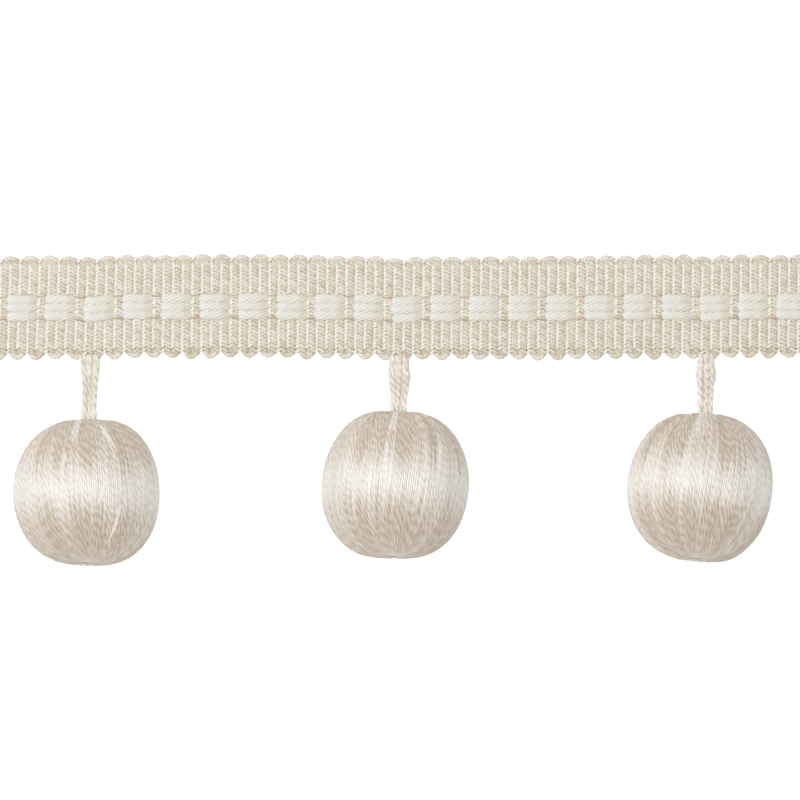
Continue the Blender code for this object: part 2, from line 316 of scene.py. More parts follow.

# The yarns: the pale and the deep colour of each and the one in its grooves, which is partly painted shade,
# and how it is twisted
YARNS = {
    "cream_warp": {"pale": (233, 227, 214), "deep": (205, 194, 173), "groove_tan_and_shade": (190, 174, 148),
                   "mottle": 0.3},
    "white_warp": {"pale": (240, 237, 228), "deep": (229, 224, 212), "groove_tan_and_shade": (214, 205, 188),
                   "groove_share": 0.3},
    "ground_weft": {"pale": (216, 205, 186), "deep": (204, 192, 170), "groove_tan_and_shade": (190, 174, 148),
                    "groove_share": 0.0, "roughness": 0.9},
    "edge_cord": {"pale": (233, 228, 217), "deep": (204, 192, 172), "groove_tan_and_shade": (188, 173, 149),
                  "plies": WRAP_STARTS, "groove_share": 0.7, "relief": 0.06 * MM, "mottle": 0.45},
    "white_roving": {"pale": (235, 234, 229), "deep": (223, 216, 201), "groove_tan_and_shade": (203, 200, 192),
                     "plies": ROVING_LOBES, "groove_share": 0.55, "relief": 0.06 * MM, "roughness": 0.8,
                     "mottle": 0.2, "fibres": 9.0, "fuzz": 1.6},
    "gap_thread": {"pale": (244, 239, 229), "deep": (196, 179, 151), "groove_tan_and_shade": (190, 174, 148),
                   "groove_share": 0.2, "relief": 0.02 * MM},
    "satin_thread": {"pale": (240, 237, 232), "deep": (193, 176, 155), "groove_tan_and_shade": (193, 180, 163),
                     "groove_share": 0.26, "groove_edge": 1.0, "relief": 0.012 * MM, "roughness": 0.33,
                     "gloss": 0.85, "mottle": 0.2, "fuzz": 0.2, "groove_blend": "MULTIPLY",
                     "crown_highlight_and_groove_shade": 0.3},
    # The under turns' deeper colour is painted shade in the gaps between the outer threads
    "shaded_under_thread": {"pale": (220, 206, 188), "deep": (208, 191, 170), "groove_tan_and_shade": (190, 172, 146),
                     "groove_share": 0.0, "roughness": 0.6},
    "hanger_cotton": {"pale": (240, 238, 230), "deep": (214, 202, 182), "groove_tan_and_shade": (212, 200, 180),
                      "relief": 0.04 * MM, "roughness": 0.6},
}


# Colour and thread finishes

def colour(red, green, blue):
    """Linear colour from the 0 to 255 values that a picture shows."""
    def linear(value):
        value /= 255
        return value / 12.92 if value <= 0.04045 else ((value + 0.055) / 1.055) ** 2.4
    return (linear(red), linear(green), linear(blue), 1.0)


def math_node(tree, operation, first, second=None, third=None):
    """One step of arithmetic on sockets or plain numbers; returns its output."""
    node = tree.nodes.new("ShaderNodeMath")
    node.operation = operation
    for socket, value in zip(node.inputs, (first, second, third)):
        if isinstance(value, (int, float)):
            socket.default_value = value
        elif value is not None:
            tree.links.new(value, socket)
    return node.outputs[0]


def mix_colour(tree, share, first, second, blend="MIX"):
    """A colour mixed from two, each a socket or a plain colour; returns its output."""
    node = tree.nodes.new("ShaderNodeMix")
    node.data_type = "RGBA"
    node.blend_type = blend
    sockets = (node.inputs[0], node.inputs[6], node.inputs[7])
    for socket, value in zip(sockets, (share, first, second)):
        if isinstance(value, (int, float, tuple)):
            socket.default_value = value
        else:
            tree.links.new(value, socket)
    return node.outputs[2]


def yarn_material(name, pale, deep, groove_tan_and_shade, plies=2, groove_share=0.4, groove_edge=1.5,
                  relief=0.03 * MM, roughness=0.7, gloss=0.35, mottle=0.25, fibres=2.5, fuzz=0.5,
                  groove_blend="MIX", crown_highlight_and_groove_shade=0.0):
    """Twisted yarn from pale to deep by its tone, with painted shade and deeper colour in the grooves between
    its plies, and fine fibres.

    The last argument moves that much of the tone into the grooves: painted shade there, and a painted
    highlight that leaves the crowns pale."""
    material = bpy.data.materials.new(name)
    material.use_nodes = True
    tree = material.node_tree
    nodes = tree.nodes
    links = tree.links
    shader = nodes["Principled BSDF"]
    tone = nodes.new("ShaderNodeAttribute")
    tone.attribute_name = "tone"
    turns = nodes.new("ShaderNodeAttribute")
    turns.attribute_name = "turns"
    strand = nodes.new("ShaderNodeUVMap")
    strand.uv_map = "strand"
    split = nodes.new("ShaderNodeSeparateXYZ")
    links.new(strand.outputs[0], split.inputs[0])
    patches = nodes.new("ShaderNodeTexNoise")
    patches.inputs["Scale"].default_value = 700
    patches.inputs["Detail"].default_value = 2.0
    place = nodes.new("ShaderNodeTexCoord")
    links.new(place.outputs["Object"], patches.inputs["Vector"])

    phase = math_node(tree, "ADD", split.outputs["Y"], turns.outputs["Fac"])
    wave = math_node(tree, "SINE", math_node(tree, "MULTIPLY", phase, math.pi * plies))
    crown = math_node(tree, "ABSOLUTE", wave)
    hollow = math_node(tree, "POWER", math_node(tree, "SUBTRACT", 1.0, crown), groove_edge)

    around = math_node(tree, "MULTIPLY", phase, 2 * math.pi)
    twisted = nodes.new("ShaderNodeCombineXYZ")
    for socket, operation in (("X", "COSINE"), ("Y", "SINE")):
        side = math_node(tree, "MULTIPLY", math_node(tree, operation, around), fibres)
        links.new(side, twisted.inputs[socket])
    links.new(math_node(tree, "MULTIPLY", turns.outputs["Fac"], 1.5), twisted.inputs["Z"])
    hairs = nodes.new("ShaderNodeTexNoise")
    hairs.inputs["Scale"].default_value = 1.0
    hairs.inputs["Detail"].default_value = 3.0
    links.new(twisted.outputs[0], hairs.inputs["Vector"])

    broken = math_node(tree, "MULTIPLY_ADD", hairs.outputs["Fac"], 3 * groove_share, -0.6 * groove_share)
    hollow_share = math_node(tree, "MULTIPLY", hollow, broken)
    drift = math_node(tree, "MULTIPLY_ADD", patches.outputs["Fac"], 2 * mottle, -mottle)
    shifted = math_node(tree, "ADD", tone.outputs["Fac"], drift)
    flecked = math_node(tree, "MULTIPLY_ADD", hairs.outputs["Fac"], 2 * mottle, -mottle)
    shifted = math_node(tree, "ADD", shifted, flecked)
    # Painted highlight on the crowns and painted shade in the grooves
    painted_crown_and_groove = math_node(tree, "MULTIPLY_ADD", hollow, 2 * crown_highlight_and_groove_shade, 1 - crown_highlight_and_groove_shade)
    shifted = math_node(tree, "MULTIPLY", shifted, painted_crown_and_groove)
    clamp = nodes.new("ShaderNodeClamp")
    links.new(shifted, clamp.inputs[0])
    base = mix_colour(tree, clamp.outputs[0], colour(*pale), colour(*deep))
    # Painted shade in the grooves between plies, with some of the yarn's own deeper colour
    base = mix_colour(tree, hollow_share, base, colour(*groove_tan_and_shade), groove_blend)
    links.new(base, shader.inputs["Base Color"])
    shader.inputs["Roughness"].default_value = roughness
    shader.inputs["Specular IOR Level"].default_value = gloss

    height = math_node(tree, "MULTIPLY_ADD", hairs.outputs["Fac"], fuzz, crown)
    bump = nodes.new("ShaderNodeBump")
    bump.inputs["Strength"].default_value = 0.8
    bump.inputs["Distance"].default_value = relief
    links.new(height, bump.inputs["Height"])
    links.new(bump.outputs[0], shader.inputs["Normal"])
    return material


# Strands: a straight template, and the call that lays it along a route

def make_template(sides, stations):
    """A straight strand of radius 1 along Z, with v round it in its UV map, and each vertex's seat."""
    builder = bmesh.new()
    bmesh.ops.create_cone(builder, cap_ends=True, segments=sides, radius1=1, radius2=1, depth=1)
    uprights = [edge for edge in builder.edges if abs(edge.verts[0].co.z - edge.verts[1].co.z) > 0.5]
    bmesh.ops.subdivide_edges(builder, edges=uprights, cuts=stations - 2, use_grid_fill=True)
    builder.verts.layers.float.new("tone")
    builder.verts.layers.float.new("turns")
    unwrapped = builder.loops.layers.uv.new("strand")
    for face in builder.faces:
        middle = face.calc_center_median()
        face_turn = math.atan2(middle.y, middle.x) / (2 * math.pi)
        for loop in face.loops:
            turn = math.atan2(loop.vert.co.y, loop.vert.co.x) / (2 * math.pi)
            turn += round(face_turn - turn)
            loop[unwrapped].uv = (0.5 - loop.vert.co.z, turn)
    mesh = bpy.data.meshes.new("strand_template")
    builder.to_mesh(mesh)
    seats = [(round((0.5 - vertex.co.z) * (stations - 1)), vertex.co.x, vertex.co.y)
             for vertex in builder.verts]
    builder.free()
    return {"mesh": mesh, "seats": seats, "stations": stations}


def ways_along(template):
    """How far along a strand each of its stations lies, from 0 to 1."""
    stations = template["stations"]
    return [station / (stations - 1) for station in range(stations)]


def value_at(value, station, stations):
    """A strand's value at a station: a plain one, a list's, or a function's of the way along it."""
    if isinstance(value, list):
        return value[station]
    return value(station / (stations - 1)) if callable(value) else value


def random_start(chance):
    """Where a strand's twist starts, so that no two strands look alike."""
    return START_SPAN * chance.random()


def lay_strand(builder, template, centres, half_width, half_height, tone=0.0, turn=1.0, start=0.0,
               ridge=None, up=UP):
    """Lay one strand through its centres. Ridge gives the swelling at a way along and an angle round."""
    stations = template["stations"]
    first = len(builder.verts)
    builder.from_mesh(template["mesh"])
    builder.verts.ensure_lookup_table()
    tone_layer = builder.verts.layers.float["tone"]
    turns_layer = builder.verts.layers.float["turns"]
    frames = []
    run = start
    for station in range(stations):
        before = centres[max(station - 1, 0)]
        after = centres[min(station + 1, stations - 1)]
        tangent = (after - before).normalized()
        side = tangent.cross(value_at(up, station, stations)).normalized()
        if station:
            run += (centres[station] - centres[station - 1]).length / value_at(turn, station, stations)
        frames.append((centres[station],
                       side * value_at(half_width, station, stations),
                       side.cross(tangent) * value_at(half_height, station, stations),
                       value_at(tone, station, stations), run))
    for vertex, (station, across, over) in zip(builder.verts[first:], template["seats"]):
        centre, side, over_side, vertex_tone, vertex_turns = frames[station]
        swell = ridge(station / (stations - 1), math.atan2(over, across)) if ridge else 1.0
        vertex.co = centre + (side * across + over_side * over) * swell
        vertex[tone_layer] = vertex_tone
        vertex[turns_layer] = vertex_turns


def rounded(size, tip=0.18, least=0.25):
    """A size along a strand that narrows to round tips."""
    def at(along):
        short = min(along, 1 - along) / tip
        return size * (least + (1 - least) * math.sqrt(max(0.0, 1 - (1 - short) ** 2)) if short < 1 else 1.0)
    return at


def finish_piece(builder, name, material, slot, *nodes):
    """Turn a finished bmesh into a piece that rides with the trim and stands for its nodes."""
    mesh = bpy.data.meshes.new(name)
    builder.to_mesh(mesh)
    builder.free()
    mesh.materials.append(material)
    mesh.shade_smooth()
    piece = bpy.data.objects.new(name, mesh)
    bpy.context.scene.collection.objects.link(piece)
    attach(piece, "root")
    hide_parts(*nodes)
    return piece


# The braid's own lines

def rib_lean(x):
    """Sideways lean of the ribs; it is strongest near the -X end and fades out at the cut."""
    along = (x + LENGTH / 2) / END_LEAN_LENGTH
    extra = math.sin(math.pi * along) ** 2 if 0 < along < 1 else 0.0
    return RIB_LEAN + END_LEAN * extra


def band_shift(x):
    """How far the whole band sits above or below its line at x."""
    shift = -WANDER * math.cos(2 * math.pi * (x + LENGTH / 2) / WANDER_LENGTH)
    for hanger in HANGERS:
        away = (x - hanger["x"] * MM) / HANGER_DRAW_WIDTH
        shift -= HANGER_DRAW * math.exp(-away * away)
    return shift


def scallop_sizes():
    """Uneven sizes of the scallops, one list for the upper edge and one for the lower."""
    chance = random.Random(SCALLOP_SEED)
    count = RIBS // 2 + 1
    return {side: [1 + SCALLOP_SPREAD * chance.uniform(-1, 1) for _ in range(count)] for side in (1, -1)}


def band_point(position, across, height):
    """A place on the braid from its rib number, its distance from the band's line and its height."""
    x = position * RIB_PITCH - LENGTH / 2
    return Vector((x + rib_lean(x) * across, BRAID_Y + band_shift(x) + across, height))


def float_place(position):
    """Ribs past the start of the float that a position belongs to."""
    return (position - FLOAT_FIRST + 1) % FLOAT_EVERY - 1


def row_places(position):
    """The stitched rows above and below the floats; between two floats they go on through."""
    upper = [UPPER_ROW_FROM + ROW_PITCH * row for row in range(UPPER_ROWS)]
    lower = [LOWER_ROW_FROM - ROW_PITCH * row for row in range(LOWER_ROWS)]
    if float_place(position) >= 0:
        return upper + lower
    count = round((UPPER_ROW_FROM - LOWER_ROW_FROM) / ROW_PITCH) - 1
    step = (UPPER_ROW_FROM - LOWER_ROW_FROM) / (count + 1)
    return upper + lower + [UPPER_ROW_FROM - step * (row + 1) for row in range(count)]


def has_scallop(stripe, side):
    """Scallops stand over the odd stripes on the upper edge and the even ones on the lower."""
    return stripe % 2 == (1 if side > 0 else 0)


# The braid's pieces

def scallop_edge(position, side, sizes):
    """How far the edge stands out past the notches, as the part has it."""
    first = 1 if side > 0 else 0
    index = min(max(int((position - first + 1) // 2), 0), len(sizes[side]) - 1)
    away = abs((position - first + 1) % 2 - 1)
    reach = UPPER_REACH if side > 0 else LOWER_REACH
    return reach * sizes[side][index] * math.sqrt(max(0.0, 1 - away * away))


def ground_rows(position, sizes):
    """Distances from the band's line at which the ground is shaped, from the upper edge to the lower."""
    upper = NOTCH_HALF_WIDTH + scallop_edge(position, 1, sizes) - GROUND_IN
    lower = NOTCH_HALF_WIDTH + scallop_edge(position, -1, sizes) - GROUND_IN
    return [upper, upper - GROUND_CHAMFER, *GROUND_ROWS, GROUND_CHAMFER - lower, -lower]


def make_ground(material):
    """The woven ground under the stitches: a ribbed slab with a flat back and straight cut ends."""
    along = RIBS * GROUND_STEPS
    sizes = scallop_sizes()
    across = len(ground_rows(0, sizes)) - 1
    builder = bmesh.new()
    bmesh.ops.create_grid(builder, x_segments=along, y_segments=across, size=1)
    for vertex in builder.verts:
        position = round((vertex.co.x + 1) / 2 * along) / GROUND_STEPS
        row = round((1 - vertex.co.y) / 2 * across)
        height = RIB_Z - GROUND_DEPTH - GROUND_DIP * (1 - math.sqrt(math.sin(math.pi * (position % 1))))
        if row in (1, across - 1):
            height = SCALLOP_Z - GROUND_EDGE_DROP
        if row in (0, across):
            height = GROUND_RIM_Z
        vertex.co = band_point(position, ground_rows(position, sizes)[row], height)
    rim = [edge for edge in builder.edges if edge.is_boundary]
    skirt = bmesh.ops.extrude_edge_only(builder, edges=rim)["geom"]
    for vertex in [item for item in skirt if isinstance(item, bmesh.types.BMVert)]:
        vertex.co.z = 0
    foot = [item for item in skirt if isinstance(item, bmesh.types.BMEdge)]
    bmesh.ops.contextual_create(builder, geom=foot)
    bmesh.ops.recalc_face_normals(builder, faces=builder.faces)
    if builder.calc_volume(signed=True) < 0:
        bmesh.ops.reverse_faces(builder, faces=builder.faces)
    return finish_piece(builder, "braid_ground", material, "braid_yarn", "braid")


def stitch_centres(template, position, across, stitch, top):
    """Centres of one stitch, from its foot on one side to its foot on the other."""
    centres = []
    for along in ways_along(template):
        spot = position + stitch["to"] - (stitch["to"] - stitch["from"]) * (1 - along) ** stitch["bend"]
        rise = stitch["rise"] * (1 - 2 * along)
        sink = STITCH_SINK * abs(2 * along - 1) ** 3
        centres.append(band_point(spot, across + rise, top - stitch["half_height"] - sink))
    return centres


def make_rib_stitches(material):
    """Cream stitches slanting down over every rib, row by row; the floats cover the middle."""
    chance = random.Random(5)
    template = make_template(5, 5)
    builder = bmesh.new()
    for rib in range(RIBS):
        for across in row_places(rib + 0.5) + list(EDGE_ROWS):
            size = chance.uniform(*RIB_STITCH["sizes"])
            top = SCALLOP_Z + EDGE_ROW_LIFT if across in EDGE_ROWS else RIB_Z
            top += chance.uniform(*RIB_STITCH["lifts"]) * MM
            drift = chance.uniform(-1, 1) * STITCH_DRIFT
            centres = stitch_centres(template, rib, across + drift, RIB_STITCH, top)
            base = chance.uniform(*RIB_STITCH["tones"])
            right_shade = chance.uniform(*RIB_STITCH["right_shades"])

            # Painted shade towards the stitch's right end
            def tone(along, base=base, right_shade=right_shade):
                return base + right_shade * max(0.0, along - RIB_STITCH["right_shade_from"])
            lay_strand(builder, template, centres, rounded(RIB_STITCH["half_width"] * size),
                       rounded(RIB_STITCH["half_height"]), tone=tone, turn=STITCH_TURN,
                       start=random_start(chance))
    return finish_piece(builder, "rib_stitches", material, "braid_yarn", "braid")


def make_stripe_stitches(material):
    """White stitches slanting up across each valley; they make the white stripes."""
    chance = random.Random(6)
    template = make_template(5, 5)
    builder = bmesh.new()
    for stripe in range(RIBS + 1):
        rows = row_places(stripe)
        for side in (1, -1):
            if not has_scallop(stripe, side):
                rows.append(side * (NOTCH_HALF_WIDTH - NOTCH_STITCH_IN))
        for across in rows:
            in_gap = LOWER_ROW_FROM < across < UPPER_ROW_FROM
            size = chance.uniform(*STRIPE_STITCH["sizes"]) * (GAP_STITCH["swell"] if in_gap else 1)
            top = RIB_Z + chance.uniform(*STRIPE_STITCH["lifts"]) * MM + (GAP_STITCH["rise"] if in_gap else 0)
            drift = chance.uniform(-1, 1) * STITCH_DRIFT
            centres = stitch_centres(template, stripe, across + drift, STRIPE_STITCH, top)
            # Painted light: the gap's stitches are made paler
            tone = chance.uniform(*STRIPE_STITCH["tones"]) * (GAP_STITCH["tone"] if in_gap else 1)
            lay_strand(builder, template, centres, rounded(STRIPE_STITCH["half_width"] * size),
                       rounded(STRIPE_STITCH["half_height"]), tone=tone, turn=STITCH_TURN,
                       start=random_start(chance))
    return finish_piece(builder, "stripe_stitches", material, "braid_yarn", "braid")


def make_stripe_cores(material):
    """The white warps that the stripe stitches hold down, above and below each float and in each gap."""
    chance = random.Random(14)
    template = make_template(6, 14)
    height = RIB_Z - STRIPE_CORE["under"] - STRIPE_CORE["half_height"]
    half_width = rounded(STRIPE_CORE["half_width"], STRIPE_CORE["tip"])
    half_height = rounded(STRIPE_CORE["half_height"], STRIPE_CORE["tip"])
    builder = bmesh.new()
    for stripe in range(1, RIBS):
        upper, lower = (side * (NOTCH_HALF_WIDTH - (CORE_SHORT_OF_SCALLOP if has_scallop(stripe, side)
                                                    else CORE_SHORT_OF_NOTCH)) for side in (1, -1))
        runs = [(upper, lower)]
        if float_place(stripe) >= 0:
            runs = [(upper, UPPER_ROW_FROM - CORE_UNDER_FLOAT), (LOWER_ROW_FROM + CORE_UNDER_FLOAT, lower)]
        for first, last in runs:
            centres = [band_point(stripe + STRIPE_CORE["spot"], first + (last - first) * along, height)
                       for along in ways_along(template)]
            lay_strand(builder, template, centres, half_width, half_height, tone=STRIPE_CORE["tone"],
                       turn=STRIPE_CORE["turn"], start=random_start(chance))
    return finish_piece(builder, "stripe_cores", material, "braid_yarn", "braid")


def scallop_places():
    """Each scallop's side, stripe, reach, sideways tilt and lift."""
    chance = random.Random(7)
    sizes = scallop_sizes()
    places = []
    for side in (1, -1):
        for stripe in range(RIBS + 1):
            if has_scallop(stripe, side):
                index = min(stripe // 2, len(sizes[side]) - 1)
                reach = (UPPER_REACH if side > 0 else LOWER_REACH) * sizes[side][index] * ARCH_FILL[side]
                tilt = chance.uniform(-ARCH_TILT, ARCH_TILT)
                lift = chance.uniform(-ARCH_LIFT, ARCH_LIFT) * MM
                places.append((side, stripe, reach, tilt, lift))
    return places


def arch_point(place, angle, yarn):
    """A point on a scallop's cord, or on the yarn inside it, at an angle round its arch."""
    side, stripe, reach, tilt, lift = place
    width = ARCH_HALF_WIDTHS[side] + ARCH_NARROWING * yarn["out"] / RIB_PITCH
    spot = stripe - width * math.cos(angle) + tilt * math.sin(angle)
    foot = NOTCH_HALF_WIDTH - EDGE_CORD["half_width"] - ARCH_LEG
    across = foot + (reach + ARCH_LEG + yarn["out"]) * max(math.sin(angle), 0.0) ** ARCH_FLATNESS
    height = SCALLOP_Z - yarn["half_height"] + lift - ARCH_FOOT_SINK * (1 - math.sin(angle)) - yarn["sink"]
    return band_point(min(max(spot, ARCH_FROM_CUT), RIBS - ARCH_FROM_CUT), side * across, height)


def make_scallops(material):
    """The wrapped cords that turn round at the edges, with painted shade darkest at the right where they go
    under.
    """
    chance = random.Random(12)
    thick = make_template(12, 34)
    thin = make_template(8, 14)
    builder = bmesh.new()
    for place in scallop_places():
        for template, yarn in ((thin, INNER_TURN), (thick, EDGE_CORD)):
            centres = [arch_point(place, math.pi * along, yarn) for along in ways_along(template)]
            run = sum((after - before).length for before, after in zip(centres, centres[1:]))
            start = chance.random()
            base = yarn["tone"] + (CORD_TONE["lower_edge"] if place[0] < 0 else 0.0)
            base += chance.uniform(-1, 1) * CORD_TONE["spread"]
            lump = chance.uniform(0, 2 * math.pi)

            def tone(along, base=base, lump=lump):
                # Painted shade where the cord goes under at its right end
                dive_shade = max(0.0, (along - CORD_TONE["dive_shade_from"]) / CORD_TONE["dive_shade_length"])
                return base + CORD_TONE["clouds"] * math.sin(9 * along + lump) + CORD_TONE["dive_shade"] * dive_shade

            def ridge(along, around, run=run, start=start, lump=lump):
                turn = around / (2 * math.pi) - along * run / WRAP_TURN + start
                wrap = abs(math.sin(math.pi * WRAP_STARTS * turn))
                return 1 - WRAP_SWELL * (1 - wrap) + CORD_LUMP * math.sin(7 * along + lump)
            half_width = yarn["half_width"] * chance.uniform(0.92, 1.08)
            lay_strand(builder, template, centres, rounded(half_width, CORD_TIP),
                       rounded(yarn["half_height"], CORD_TIP), tone=tone, turn=-WRAP_TURN, start=start,
                       ridge=ridge)
    return finish_piece(builder, "scallop_cords", material, "braid_yarn", "braid")


def roving_ridges(chance):
    """Uneven ridges round a loosely twisted roving: the height of each, and where it starts."""
    ridges = [chance.uniform(*ROVING_RIDGES) for _ in range(ROVING_LOBES)]
    return ridges, chance.random()


def round_left(size):
    """A size along a roving that is round at its left end and full from there on."""
    def at(along):
        short = along / LEFT_TIP
        swell = (1 - LEFT_TIP_LEAST) * math.sqrt(1 - (1 - short) ** 2) if short < 1 else 0.0
        return size * (LEFT_TIP_LEAST + swell if short < 1 else 1.0)
    return at


def make_floats(material):
    """Three plump rovings to a float, side by side, round at the left and drawn flat at the right."""
    chance = random.Random(8)
    template = make_template(40, 24)
    width = 2 * FLOAT_HALF / ROVINGS
    builder = bmesh.new()
    for stripe in range(FLOAT_FIRST - FLOAT_EVERY, RIBS, FLOAT_EVERY):
        for roving in range(ROVINGS):
            across = FLOAT_MIDDLE + ROVING_SPACING * (roving - 1) * width
            across += chance.uniform(-ROVING_DRIFT, ROVING_DRIFT) * MM
            start = max(stripe + FLOAT_FROM + chance.uniform(*ROVING_STARTS), FROM_CUT)
            end = min(stripe + CREAM_END, RIBS - FROM_CUT)
            if end - start < SHORTEST_FLOAT:
                continue
            slope = chance.uniform(-ROVING_SLOPE, ROVING_SLOPE) * MM
            centres = []
            for along in ways_along(template):
                spot = start + (end - start) * along
                flat = max(0.0, (spot - stripe - CREAM_FROM) / (CREAM_END - CREAM_FROM))
                sink = LEFT_DIVE * math.exp(-(along / LEFT_DIVE_LENGTH) ** 2) + CREAM_SINK * flat ** 2
                crown = FLOAT_CROWN_Z - SIDE_ROVING_DROP * abs(roving - 1) - ROVING_HALF_HEIGHT - sink
                centres.append(band_point(spot, across + slope * (along - 0.5), crown))
            ridges, phase = roving_ridges(chance)
            run = (end - start) * RIB_PITCH

            def ridge(along, around, ridges=ridges, phase=phase, run=run):
                turn = around / (2 * math.pi) - along * run / ROVING_TURN + phase
                spot = turn * ROVING_LOBES
                height = ridges[math.floor(spot) % ROVING_LOBES] * abs(math.sin(math.pi * spot))
                return RIDGE_FOOT + RIDGE_SWELL * height

            def tone(along, start=start, end=end, stripe=stripe):
                past = start + (end - start) * along - stripe
                cream = max((past - CREAM_FROM) / CREAM_TONE_LENGTH, 0.0)
                return min(min(FLOAT_SHADE * along, FLOAT_SHADE_MOST) + cream, 1.0)
            lay_strand(builder, template, centres, round_left(width * ROVING_HALF_WIDTH),
                       round_left(ROVING_HALF_HEIGHT), tone=tone, turn=-ROVING_TURN, start=phase, ridge=ridge)
    return finish_piece(builder, "white_floats", material, "braid_yarn", "braid")


def make_gap_threads(material):
    """Fine threads that cross the gap rib from float to float, and the low ones along the floats' edges."""
    chance = random.Random(9)
    template = make_template(6, 9)
    builder = bmesh.new()
    rows = [(across, TIE_THREAD) for across in TIE_ROWS] + [(across, SHADE_THREAD) for across in SHADE_ROWS]
    for stripe in range(FLOAT_FIRST - FLOAT_EVERY, RIBS, FLOAT_EVERY):
        for across, thread in rows:
            start = max(stripe + CREAM_END - GAP_THREAD_UNDER["left"], FROM_CUT)
            end = min(stripe + FLOAT_EVERY + FLOAT_FROM + GAP_THREAD_UNDER["right"], RIBS - FROM_CUT)
            if end - start < SHORTEST_GAP:
                continue
            drift = chance.uniform(-GAP_THREAD_DRIFT, GAP_THREAD_DRIFT) * MM
            most_bow = LOWEST_THREAD_BOW if across == min(SHADE_ROWS) else 0
            centres = []
            for along in ways_along(template):
                spot = start + (end - start) * along
                height = RIB_Z + GAP_THREAD_LIFT - GAP_THREAD_SAG * (2 * along - 1) ** 2
                bow = most_bow * (1 - (2 * along - 1) ** 2)
                centres.append(band_point(spot, across + drift + bow, height))
            half_width = thread["half_width"] * MM
            lay_strand(builder, template, centres, half_width, half_width, tone=thread["tone"],
                       turn=1.0 * MM, start=random_start(chance))
    return finish_piece(builder, "gap_threads", material, "braid_yarn", "braid")


# The balls

def ball_frame(ball):
    """Turn that takes the winding axis from +Z to the ball's own direction, towards the braid."""
    lean = Matrix.Rotation(-math.radians(ball["lean"]), 3, "Z")
    fall = Matrix.Rotation(-math.radians(90 + ball["dip"]), 3, "X")
    return lean @ fall


def pole_dimple(latitude):
    """Depth of the hollow at a pole, deeper where the hanger goes in than at the far end."""
    from_pole = (math.pi / 2 - abs(latitude)) / POLE_DIMPLE_ANGLE
    return (HANGER_DIMPLE if latitude > 0 else END_DIMPLE) * math.exp(-from_pole * from_pole)


def outline_radius(ball, latitude, direction):
    """Radius of the wound form before its bundles and pleats."""
    turn = math.atan2(direction.y, direction.x)
    level = direction.x ** 2 + direction.y ** 2
    radius = ball["radius"]
    radius -= ball["oval"] * math.cos(2 * latitude)
    radius -= ball["square"] * math.cos(4 * latitude)
    uneven = ball["oval_turn"] * math.sin(2 * turn)
    uneven += ball["pear"] * math.cos(3 * turn)
    uneven += ball["pear_turn"] * math.sin(3 * turn)
    uneven += ball["square_turn"] * math.sin(4 * turn)
    return (radius + level * uneven) * MM


def winding_relief(seed):
    """Uneven heights round the ball: broad bundles of thread, and pleats near the poles."""
    chance = random.Random(seed)
    bundles = [chance.uniform(-1, 1) for _ in range(BALL_SIDES // BUNDLE_SIDES + 1)]
    relief = []
    for side in range(BALL_SIDES):
        fold = chance.uniform(0.3, 1) * (1 if side % 2 else -1)
        relief.append((bundles[side // BUNDLE_SIDES], fold))
    return relief


def relief_at(relief, longitude):
    """Bundle and fold height between the sides of the wound form."""
    spot = longitude / (2 * math.pi) * BALL_SIDES
    side = math.floor(spot)
    share = spot - side
    first = relief[side % BALL_SIDES]
    second = relief[(side + 1) % BALL_SIDES]
    return tuple(a * (1 - share) + b * share for a, b in zip(first, second))


def winding_place(form, longitude, latitude, depth):
    """Place on the wound form from the ball's centre, some depth under its surface, and the way out."""
    ball, turn, relief = form
    bundle, fold = relief_at(relief, longitude)
    longitude += math.radians(ball["twist"]) * math.sin(latitude)
    flat = math.cos(latitude)
    local = Vector((flat * math.cos(longitude), flat * math.sin(longitude), math.sin(latitude)))
    direction = turn @ local
    radius = outline_radius(ball, latitude, direction) - pole_dimple(latitude) - depth
    radius += BUNDLE_RELIEF * bundle * flat
    radius += PLEAT_RELIEF * fold * math.sin(2 * latitude) ** 2 * math.sin(latitude) ** 2
    return radius * direction, direction


def ball_centre(number, form):
    """The ball's centre: its box says how far it stands over the surface."""
    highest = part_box(f"ball_{number}")[1].z
    tops = []
    for side in range(BALL_SIDES):
        for ring in range(1, 20):
            latitude = math.pi * (ring / 20 - 0.5)
            longitude = 2 * math.pi * side / BALL_SIDES
            tops.append(winding_place(form, longitude, latitude, 0)[0].z)
    return Vector((form[0]["x"] * MM, form[0]["y"] * MM, highest - max(tops)))


def band_tone(bands, angle):
    """Share of tan at an angle across the ball's face, from its table of bands."""
    tone = 0.0
    for middle, reach, strength in bands:
        away = (angle - middle) / reach
        tone = max(tone, strength * math.exp(-away * away))
    return tone


def back_bands(seed):
    """Bands of tan on the side of the ball that is turned away."""
    chance = random.Random(seed)
    return tuple((angle + chance.uniform(-5, 5), chance.uniform(4, 8), chance.uniform(0.5, 1))
                 for angle in range(84, 280, 19))


def thread_tone(bands, longitude, latitude, own, strength, highlight_shift):
    """Tone of a thread at a latitude: the bands differ above and below, a painted highlight pales it at the
    widest part, and painted shade with tan deepens it near the poles.
    """
    angle = math.degrees(longitude - FACE_ANGLE) % 360
    angle = angle - 360 if angle > 280 else angle
    share = 1 / (1 + math.exp(-math.degrees(latitude) / HALVES_BLEND))
    band = share * band_tone(bands["upper"], angle) + (1 - share) * band_tone(bands["lower"], angle)
    # Painted shade, with some of the thread's own tan, deepens the tone towards the poles
    pole = share * UPPER_POLE_TAN_AND_SHADE + (1 - share) * LOWER_POLE_TAN_AND_SHADE
    # Painted highlight: a pale ring round the widest part, where the satin would shine
    painted_highlight = math.exp(-((math.degrees(latitude) - PAINTED_HIGHLIGHT_MIDDLE - highlight_shift) / PAINTED_HIGHLIGHT_REACH) ** 2)
    band *= BAND_IN_PAINTED_HIGHLIGHT + BAND_PAST_PAINTED_HIGHLIGHT * (1 - painted_highlight) ** PAINTED_HIGHLIGHT_FADE
    tone = strength * (pole * (1 - painted_highlight) + band) + own * (1 - OWN_TONE_HIGHLIGHT_FADE * painted_highlight) + BASE_TONE
    return min(max(tone, 0.0), 1.0)


